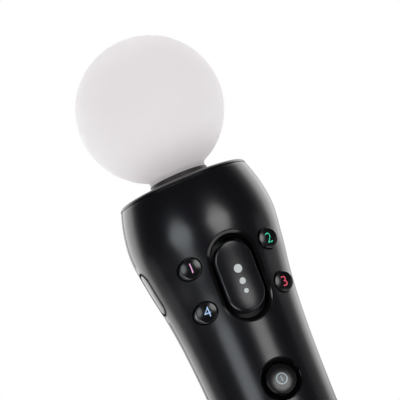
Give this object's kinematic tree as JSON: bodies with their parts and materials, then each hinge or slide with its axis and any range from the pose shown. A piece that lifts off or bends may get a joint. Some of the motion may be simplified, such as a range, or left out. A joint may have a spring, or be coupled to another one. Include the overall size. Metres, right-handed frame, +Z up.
{
  "type": "motion controller wand",
  "caption": "Handheld motion controller wand: black tapered handle with thumb buttons, rear trigger and a soft white light sphere on top.",
  "frame": {"origin": "centre of the flat base, on the wand's axis", "axes": "+Z up the wand towards the sphere, -Y out of the button side, +X to the right seen from the button side"},
  "size_m": [0.046, 0.0493, 0.2],
  "materials": {
    "satin_black": "fine satin moulded ABS",
    "gloss_black": "polished moulded ABS",
    "sphere_white": "soft matt translucent moulded rubber",
    "collar_grey": "matt moulded plastic",
    "clear_resin": "clear moulded acrylic",
    "lamp_white": "white moulded nylon",
    "board_green": "solder mask over glass-fibre board",
    "grey_rubber": "moulded silicone rubber",
    "steel": "bright rolled and turned steel",
    "brass": "plated and sintered metal",
    "chip_black": "moulded epoxy",
    "frame_grey": "as-moulded ABS",
    "battery_wrap": "printed shrink film over a metal cell",
    "ribbon_amber": "polyimide film",
    "lead_red": "flexible wire insulation"
  },
  "bodies": {
    "handle": {"front_shell": "satin_black", "rear_shell": "satin_black", "end_cap": "satin_black", "top_cap": "gloss_black", "light_sphere": "sphere_white", "collar_ring": "collar_grey", "light_guide": "clear_resin", "led_package": "lamp_white", "battery_connector": "lamp_white", "led_board": "board_green", "main_board": "board_green", "io_board": "board_green", "keypad": "grey_rubber", "trigger_sensor": "grey_rubber", "led_board_screws": "steel", "board_screws": "steel", "shell_screws": "steel", "radio_shield": "steel", "side_switches": "steel", "trigger_pin": "steel", "trigger_spring": "steel", "vibration_motor": "steel", "usb_socket": "steel", "charge_contacts": "brass", "board_chips": "chip_black", "expansion_socket": "chip_black", "inner_frame": "frame_grey", "battery_pack": "battery_wrap", "led_ribbon": "ribbon_amber", "io_ribbon": "ribbon_amber", "battery_leads": "lead_red"},
    "trigger": {"trigger": "satin_black"},
    "action_button": {"action_button": "satin_black"},
    "upper_left_button": {"face_button_upper_left": "gloss_black"},
    "upper_right_button": {"face_button_upper_right": "gloss_black"},
    "lower_left_button": {"face_button_lower_left": "gloss_black"},
    "lower_right_button": {"face_button_lower_right": "gloss_black"},
    "home_button": {"home_button": "gloss_black"},
    "left_side_button": {"left_side_button": "satin_black"},
    "right_side_button": {"right_side_button": "satin_black"},
    "motor_rotor": {"motor_shaft": "steel", "motor_weight": "brass"}
  },
  "joints": [
    {"name": "trigger_pull", "type": "hinge", "parent": "handle", "child": "trigger", "pos_m": [0, 0.01378, 0.14101], "axis": [-1, 0, 0], "range_deg": [0, 14], "stiffness_Nm_per_rad": 0.4, "deforming": ["trigger_spring"]},
    {"name": "action_press", "type": "slide", "parent": "handle", "child": "action_button", "axis": [0, 1, 0], "range_m": [0, 0.0012], "stiffness_N_per_m": 800, "deforming": ["keypad"]},
    {"name": "upper_left_press", "type": "slide", "parent": "handle", "child": "upper_left_button", "axis": [0, 1, 0], "range_m": [0, 0.001], "stiffness_N_per_m": 800, "deforming": ["keypad"]},
    {"name": "upper_right_press", "type": "slide", "parent": "handle", "child": "upper_right_button", "axis": [0, 1, 0], "range_m": [0, 0.001], "stiffness_N_per_m": 800, "deforming": ["keypad"]},
    {"name": "lower_left_press", "type": "slide", "parent": "handle", "child": "lower_left_button", "axis": [0, 1, 0], "range_m": [0, 0.001], "stiffness_N_per_m": 800, "deforming": ["keypad"]},
    {"name": "lower_right_press", "type": "slide", "parent": "handle", "child": "lower_right_button", "axis": [0, 1, 0], "range_m": [0, 0.001], "stiffness_N_per_m": 800, "deforming": ["keypad"]},
    {"name": "home_press", "type": "slide", "parent": "handle", "child": "home_button", "axis": [0, 1, 0], "range_m": [0, 0.0008], "stiffness_N_per_m": 900, "deforming": ["keypad"]},
    {"name": "left_side_press", "type": "slide", "parent": "handle", "child": "left_side_button", "axis": [1, 0, 0], "range_m": [0, 0.0008], "stiffness_N_per_m": 900},
    {"name": "right_side_press", "type": "slide", "parent": "handle", "child": "right_side_button", "axis": [-1, 0, 0], "range_m": [0, 0.0008], "stiffness_N_per_m": 900},
    {"name": "motor_spin", "type": "hinge", "parent": "handle", "child": "motor_rotor", "pos_m": [0, 0.0082, 0.09676], "axis": [0, 0, 1], "continuous": true}
  ]
}
